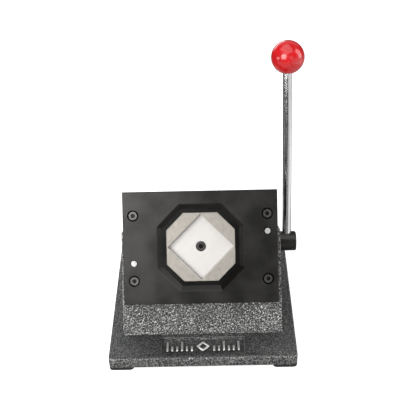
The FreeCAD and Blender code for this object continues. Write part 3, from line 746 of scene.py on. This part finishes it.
class PUNCH_OT_base(Builder, bpy.types.Operator):
    """The cast base with its soft edges, its sunk panel and its bolt holes"""
    bl_idname = "punch.base"
    bl_label = "Base casting"

    def execute(self, context):
        sizes = context.scene.punch_sizes
        low, high = (Vector(c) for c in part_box("base_plate"))
        centre = (low + high) / 2
        half_x, half_y = (high.x - low.x) / 2, (high.y - low.y) / 2
        top_radius = sizes.base_top_radius
        steps = 5
        # (inset, height) points: a small broken edge below, then the round edge of the top.
        profile = [(0.8 * MM, low.z), (0.2 * MM, low.z + 0.25 * MM), (0, low.z + 0.9 * MM)]
        for k in range(steps + 1):
            angle = math.radians(90 * k / steps)
            profile.append((top_radius * (1 - math.cos(angle)),
                            high.z - top_radius * (1 - math.sin(angle))))
        bm = bmesh.new()
        rings = [rounded_ring(centre, half_x - i, half_y - i, sizes.base_corner - i, z)
                 for i, z in profile]
        body = skin(bm, rings)
        panel = self.panel(bm, high.z)
        fill(bm, body[-1], panel)
        fill(bm, body[0], *self.bolt_holes(bm, low.z))
        piece = put(bm, "base_casting", "stand", paint("hammertone"),
                    ["base_plate"])
        rub_and_sheen(piece, lambda p: self.rubbed_and_sheen_share(p, low, high, top_radius))
        return {"FINISHED"}

    @staticmethod
    def rubbed_and_sheen_share(place, low, high, radius):
        """Most on the front corners and the panel's rim, and a little on the other top edges; the share is partly
        worn paint and partly a painted highlight.
        """
        below = high.z - place.z
        inside = min(place.x - low.x, high.x - place.x, place.y - low.y, high.y - place.y)
        if inside < radius:
            on_edge = 0.05 * radius < below < 0.4 * radius
            front = place.y < low.y + radius
            corner = min(place.x - low.x, high.x - place.x) < 2 * radius
            share = 0.7 if front and corner else 0.06 if front else 0.1
            return share if on_edge else 0.0
        on_rim = 0.05 * MM < below < 0.3 * MM
        return 0.7 if on_rim else 0.0

    @staticmethod
    def panel(bm, top):
        """The sunk panel for the mark, with drafted walls; gives back its outer loop."""
        sunk = panel_corners(1 * MM, 4 * MM)
        depth = max(top - p.z for p in sunk)
        floor = [p for p in sunk if top - p.z > depth - 0.1 * MM]
        low_x, high_x = min(p.x for p in floor), max(p.x for p in floor)
        low_y, high_y = min(p.y for p in floor), max(p.y for p in floor)
        centre = ((low_x + high_x) / 2, (low_y + high_y) / 2)
        half_x, half_y = (high_x - low_x) / 2, (high_y - low_y) / 2
        edge = 0.5 * MM
        # (inset, height) points: a broken edge, the drafted wall and the fillet at its foot.
        profile = [(-edge, 0), (-0.3 * edge, -0.3 * edge), (0, -edge),
                   (0.2 * MM, edge - depth), (0.5 * MM, 0.3 * edge - depth), (0.9 * MM, -depth)]
        rings = [rounded_ring(centre, half_x - i, half_y - i, 1.6 * MM - i, top + z, 4)
                 for i, z in profile]
        made = skin(bm, rings)
        fill(bm, made[-1])
        return made[0]

    @staticmethod
    def bolt_holes(bm, bottom):
        """Blind holes from below round the bolts and screws; gives back their outer loops."""
        loops = []
        for node, seat, depth in (("base_bolts", 6.0 * MM, 6.4 * MM),
                                  ("foot_screws", 2.0 * MM, 9.0 * MM)):
            for spot in spots(node, 24 * MM):
                rings = [circle(spot, seat, bottom), circle(spot, seat, bottom + depth)]
                made = skin(bm, rings)
                fill(bm, made[-1])
                loops.append(made[0])
        return loops


class PUNCH_OT_housing(Builder, bpy.types.Operator):
    """The cast housing, with its edges softened as a casting's are"""
    bl_idname = "punch.housing"
    bl_label = "Housing casting"

    def execute(self, context):
        sizes = context.scene.punch_sizes
        bm = bmesh.new()
        bm.from_mesh(frame["nodes"]["housing"].data)
        bmesh.ops.remove_doubles(bm, verts=bm.verts, dist=1e-6)
        bmesh.ops.dissolve_limit(bm, angle_limit=math.radians(0.5), verts=bm.verts, edges=bm.edges)
        piece = put(bm, "housing_casting", "stand", paint("hammertone"), ["housing"])
        soften = piece.modifiers.new("cast_edges", "BEVEL")
        soften.width = sizes.cast_radius
        soften.segments = 3
        soften.limit_method = "ANGLE"
        soften.angle_limit = math.radians(40)
        soften.harden_normals = True
        return {"FINISHED"}


class PUNCH_OT_feet(Builder, bpy.types.Operator):
    """Four moulded rubber pads"""
    bl_idname = "punch.feet"
    bl_label = "Feet"

    def execute(self, context):
        for place in ("front_left", "front_right", "rear_left", "rear_right"):
            node = "foot_" + place
            low, high = (Vector(c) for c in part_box(node))
            centre = (low + high) / 2
            half = (high.x - low.x) / 2
            tall = high.z - low.z
            # (inset, height) points of the pad's side, then (radius, height) of its hole.
            profile = [(1.2 * MM, 0), (0.35 * MM, 0.25 * MM), (0, 0.9 * MM),
                       (0.1 * MM, 0.5 * tall), (0, tall - 0.6 * MM), (0.25 * MM, tall)]
            bm = bmesh.new()
            rings = [rounded_ring(centre, half - i, half - i, 4 * MM - i, low.z + z)
                     for i, z in profile]
            body = skin(bm, rings)
            seat = [(4.7 * MM, 0), (4.3 * MM, 0.4 * MM), (4.3 * MM, 2.6 * MM),
                    (2.3 * MM, 2.6 * MM), (2.3 * MM, tall)]
            hole = skin(bm, [circle(centre, r, low.z + z) for r, z in seat])
            fill(bm, body[0], hole[0])
            fill(bm, body[-1], hole[-1])
            put(bm, "pad_" + place, "stand", paint("rubber"), [node])
        return {"FINISHED"}


class PUNCH_OT_mark(Builder, bpy.types.Operator):
    """The raised mark in the base's panel: the blank's shape between two scales of ticks"""
    bl_idname = "punch.mark"
    bl_label = "Size mark"

    def execute(self, context):
        sizes = context.scene.punch_sizes
        sunk = panel_corners(2 * MM, 3 * MM)
        x = (min(p.x for p in sunk) + max(p.x for p in sunk)) / 2
        y = (min(p.y for p in sunk) + max(p.y for p in sunk)) / 2
        z = min(p.z for p in sunk) + 0.35 * MM
        half = sizes.mark_height / 2
        radius = sizes.mark_stroke / 2
        bm = bmesh.new()
        around = [(half, 0), (0, half), (-half, 0), (0, -half), (half, 0)]
        for (ax, ay), (bx, by) in zip(around, around[1:]):
            ends = [Vector((x + ax, y + ay, z)), Vector((x + bx, y + by, z))]
            round_end_stroke(bm, ends, radius)
        pitch = 5.2 * MM
        for side in (-1, 1):
            for k in range(6):
                place = x + side * (half + (k + 1.2) * pitch)
                share = 1.0 if k % 3 == 2 else 0.45
                foot = y - half
                head = foot + 2 * half * share
                round_end_stroke(bm, [Vector((place, foot, z)), Vector((place, head, z))], radius)
        # The mark's near-white finish is partly worn metal and partly a painted highlight.
        put(bm, "size_mark", "stand", paint("rubbed_and_sheen_paint"))
        return {"FINISHED"}


class PUNCH_OT_springs(Builder, bpy.types.Operator):
    """Two coiled return springs"""
    bl_idname = "punch.springs"
    bl_label = "Return springs"

    def execute(self, context):
        sizes = context.scene.punch_sizes
        for side in ("left", "right"):
            node = "spring_" + side
            back, front = reach(node, LEAN_OUT)
            across = reach(node, ACROSS)
            radius = (across[1] - across[0]) / 2 - sizes.wire / 2
            centre = middle(node)
            start = centre - LEAN_OUT * (centre.dot(LEAN_OUT) - back)
            length = front - back
            per_turn = 24
            count = int(sizes.coils * per_turn)
            path = []
            for k in range(count + 1):
                share = k / count
                rise = self.rise(share, sizes.coils, sizes.wire, length)
                angle = math.tau * sizes.coils * share
                path.append(start + LEAN_OUT * rise
                            + (ACROSS * math.cos(angle) + LEAN_UP * math.sin(angle)) * radius)
            bm = bmesh.new()
            sweep(bm, path, [sizes.wire / 2] * len(path), sides=10)
            coil = put(bm, "return_coil_" + side, "stand", paint("spring_steel"),
                       [node])
            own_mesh(coil)
        return {"FINISHED"}

    @staticmethod
    def rise(share, coils, wire, length):
        """Height of the wire's middle: the end turns lie closed, the rest are even."""
        closed = 0.8 / coils
        low, high = wire / 2, length - wire / 2
        if share < closed:
            return low + wire * 0.3 * share / closed
        if share > 1 - closed:
            return high - wire * 0.3 * (1 - share) / closed
        middle_share = (share - closed) / (1 - 2 * closed)
        return low + wire * 0.3 + (high - low - wire * 0.6) * middle_share


class PUNCH_OT_knob(Builder, bpy.types.Operator):
    """The ball on the lever, with its flat and the bore for the rod"""
    bl_idname = "punch.knob"
    bl_label = "Ball knob"

    def execute(self, context):
        low, high = reach("ball_knob", ACROSS)
        radius = (high - low) / 2
        middle_x = (low + high) / 2
        rod = middle("ball_knob")
        foot = Vector((middle_x, SHAFT_PLACE.y, SHAFT_PLACE.z))
        along = Vector((0, rod.y - foot.y, rod.z - foot.z)).normalized()
        top = reach("ball_knob", along)[1]
        centre = foot + along * (top - radius - foot.dot(along))
        flat = radius - 1.0 * MM
        start = math.asin(-flat / radius)
        steps = 40
        # (radius, height) points: the bore, the flat's rim, and then the ball.
        profile = [(4.0 * MM, -flat + 3 * MM), (4.0 * MM, -flat + 0.4 * MM), (4.4 * MM, -flat)]
        for k in range(steps + 1):
            angle = start + (math.pi / 2 - start) * k / steps
            profile.append((radius * math.cos(angle), radius * math.sin(angle)))
        profile[-1] = (0, radius)
        bm = bmesh.new()
        lathe(bm, profile, centre, along, steps=64)
        put(bm, "knob", "lever", paint("red_knob"), ["ball_knob"])
        return {"FINISHED"}


class PUNCH_OT_finishes(Builder, bpy.types.Operator):
    """A finish for every node of the frame that shows as it is"""
    bl_idname = "punch.finishes"
    bl_label = "Finishes"

    def execute(self, context):
        own = {"die_plate": "die_steel", "punch": "punch_steel", "front_plate": "plate_black_window_shade",
               "plate_screws_upper": "screw_black", "plate_screws_lower": "screw_black",
               "punch_screw": "screw_black", "dowel_pins": "dowel_steel"}
        for row in frame["record"]["subparts"]:
            node, slot = row["node"], row["material_slot"]
            piece = frame["nodes"][node]
            finish = paint(own.get(node, slot))
            piece.data.materials.clear()
            piece.data.materials.append(finish)
        return {"FINISHED"}


# Soft lamps: name, place and target from the die's centre, width and height, power in watts.
LAMPS = (
    ("over_lamp", (-0.1, -0.05, 1.2), (0, 0, 0), 1.5, 1.2, 9.5),
    ("key_lamp", (-0.64, -0.9, 0.74), (0, 0, 0), 0.8, 0.75, 15.6),
    ("low_lamp", (0.1, -1.3, 0.1), (0, 0, 0), 0.35, 0.25, 0.3),
    ("fill_lamp", (0.6, -1.2, 0.65), (0, 0, 0), 0.7, 0.6, 1.2),
    ("rear_lamp", (-0.35, 1.25, 0.3), (0, 0, 0), 0.9, 0.5, 3.0),
    ("left_lamp", (-0.95, -0.2, 0.2), (0, 0, 0), 0.35, 0.16, 1.4),
    ("side_lamp", (0.5, -0.34, 0.07), (0.09, -0.34, 0.07), 1.1, 0.4, 1.15),
    ("window_lamp", (1.0, 0.1, 0.5), (0.1, 0, 0.15), 0.5, 0.9, 5.0),
    ("back_lamp", (0.15, 1.2, 0.85), (0, 0, 0), 1.9, 0.8, 1.8),
)
STUDIO_LIGHT = 0.07        # strength of the room's own light on the object
UNLIT_FLOOR = (0.06, 0.06, 0.06, 1)
FLOOR_HALF_WIDTH = 6.0
FLOOR_CORNER = 1.0


class PUNCH_OT_stage(Builder, bpy.types.Operator):
    """Pale floor, soft lamps and the camera"""
    bl_idname = "punch.stage"
    bl_label = "Stage"

    def execute(self, context):
        stage = context.scene.punch_stage
        context.scene.view_settings.view_transform = "Standard"
        self.floor(stage)
        self.sky()
        self.camera(context, stage)
        centre = die_centre()
        for name, place, target, wide, tall, power in LAMPS:
            self.lamp(name, centre + Vector(place), centre + Vector(target), wide, tall, power)
        return {"FINISHED"}

    @staticmethod
    def floor(stage):
        """Pale paper that glows to the camera and lights the object from below.

        Its left rear stays dim, so the lever keeps a dark side.
        """
        bm = bmesh.new()
        outline = rounded_ring((0, 0), FLOOR_HALF_WIDTH, FLOOR_HALF_WIDTH, FLOOR_CORNER, 0.0, 4)
        bm.faces.new([bm.verts.new(p) for p in outline])
        mesh = bpy.data.meshes.new("floor")
        bm.to_mesh(mesh)
        bm.free()
        floor = bpy.data.objects.new("floor", mesh)
        bpy.context.scene.collection.objects.link(floor)
        material, tree, shader, place = new_material("floor_paper", {"Roughness": 0.9})
        patches, _ = mottled(tree, place, 300.0, 0.6)
        paper = mixed(tree, patches, shade(stage.floor_colour, 0.985), shade(stage.floor_colour))
        seen = tree.nodes.new("ShaderNodeLightPath").outputs["Is Camera Ray"]
        where = shader_node(tree, "ShaderNodeSeparateXYZ", None, {0: place})
        left = remap(tree, where.outputs["X"], -0.25, -0.1, 1.0, 0.0)
        behind = remap(tree, where.outputs["Y"], -0.15, 0.0, 0.0, 1.0)
        bounce = mixed(tree, maths(tree, "MULTIPLY", left, behind),
                       shade(stage.floor_colour, stage.floor_bounce), UNLIT_FLOOR)
        link(tree, mixed(tree, seen, bounce, paper), shader.inputs["Base Color"])
        shader.inputs["Emission Color"].default_value = (1, 1, 1, 1)
        link(tree, maths(tree, "MULTIPLY", seen, stage.floor_glow),
             shader.inputs["Emission Strength"])
        mesh.materials.append(material)

    @staticmethod
    def sky():
        """White where the camera sees it, and dim where it lights the object."""
        world = bpy.data.worlds.new("studio")
        bpy.context.scene.world = world
        world.use_nodes = True
        tree = world.node_tree
        light = tree.nodes["Background"]
        light.inputs["Color"].default_value = (1, 1, 1, 1)
        seen = tree.nodes.new("ShaderNodeLightPath").outputs["Is Camera Ray"]
        link(tree, remap(tree, seen, 0, 1, STUDIO_LIGHT, 1.0), light.inputs["Strength"])

    @staticmethod
    def lamp(name, place, target, wide, tall, power):
        data = bpy.data.lights.new(name, "AREA")
        data.shape = "RECTANGLE"
        data.size, data.size_y = wide, tall
        data.energy = power
        lamp = bpy.data.objects.new(name, data)
        lamp.location = place
        lamp.rotation_euler = (target - place).to_track_quat("-Z", "Y").to_euler()
        lamp.visible_camera = False
        bpy.context.scene.collection.objects.link(lamp)

    @staticmethod
    def camera(context, stage):
        down, side = stage.look_down, -stage.look_side
        ahead = Vector((math.sin(side) * math.cos(down), math.cos(side) * math.cos(down),
                        -math.sin(down)))
        right = ahead.cross(Vector((0, 0, 1))).normalized()
        roll = Quaternion(ahead, -stage.camera_roll)
        right = roll @ right
        up = right.cross(ahead)
        place = die_centre() + Vector((stage.camera_right, -stage.camera_front,
                                       stage.camera_above))
        turn = Matrix((right, up, -ahead)).transposed().to_4x4()
        data = bpy.data.cameras.new("camera")
        data.lens = stage.lens
        data.sensor_width = 36.0
        data.clip_start = 0.05
        camera = bpy.data.objects.new("camera", data)
        camera.matrix_world = Matrix.Translation(place) @ turn
        context.scene.collection.objects.link(camera)
        context.scene.camera = camera


OPERATORS = (PUNCH_OT_base, PUNCH_OT_housing, PUNCH_OT_feet, PUNCH_OT_mark, PUNCH_OT_springs,
             PUNCH_OT_knob, PUNCH_OT_finishes, PUNCH_OT_stage)


class PUNCH_PT_panel(bpy.types.Panel):
    """Lists the pieces and their settings"""
    bl_label = "Stand punch"
    bl_idname = "PUNCH_PT_panel"
    bl_space_type = "VIEW_3D"
    bl_region_type = "UI"
    bl_category = "Stand punch"

    def draw(self, context):
        for kind in OPERATORS:
            self.layout.operator(kind.bl_idname)
        for group in (context.scene.punch_look, context.scene.punch_sizes,
                      context.scene.punch_stage):
            for name in group.bl_rna.properties.keys():
                if name not in ("rna_type", "name"):
                    self.layout.prop(group, name)


GROUPS = {"punch_look": PunchLook, "punch_sizes": PunchSizes, "punch_stage": PunchStage}
CLASSES = tuple(GROUPS.values()) + OPERATORS + (PUNCH_PT_panel,)


def register():
    for kind in CLASSES:
        bpy.utils.register_class(kind)
    for name, kind in GROUPS.items():
        setattr(bpy.types.Scene, name, bpy.props.PointerProperty(type=kind))


def unregister():
    for name in GROUPS:
        delattr(bpy.types.Scene, name)
    for kind in reversed(CLASSES):
        bpy.utils.unregister_class(kind)


def main():
    register()
    for kind in OPERATORS:
        family, name = kind.bl_idname.split(".")
        getattr(getattr(bpy.ops, family), name)()
    bpy.context.view_layer.update()


if __name__ == "__main__":
    main()
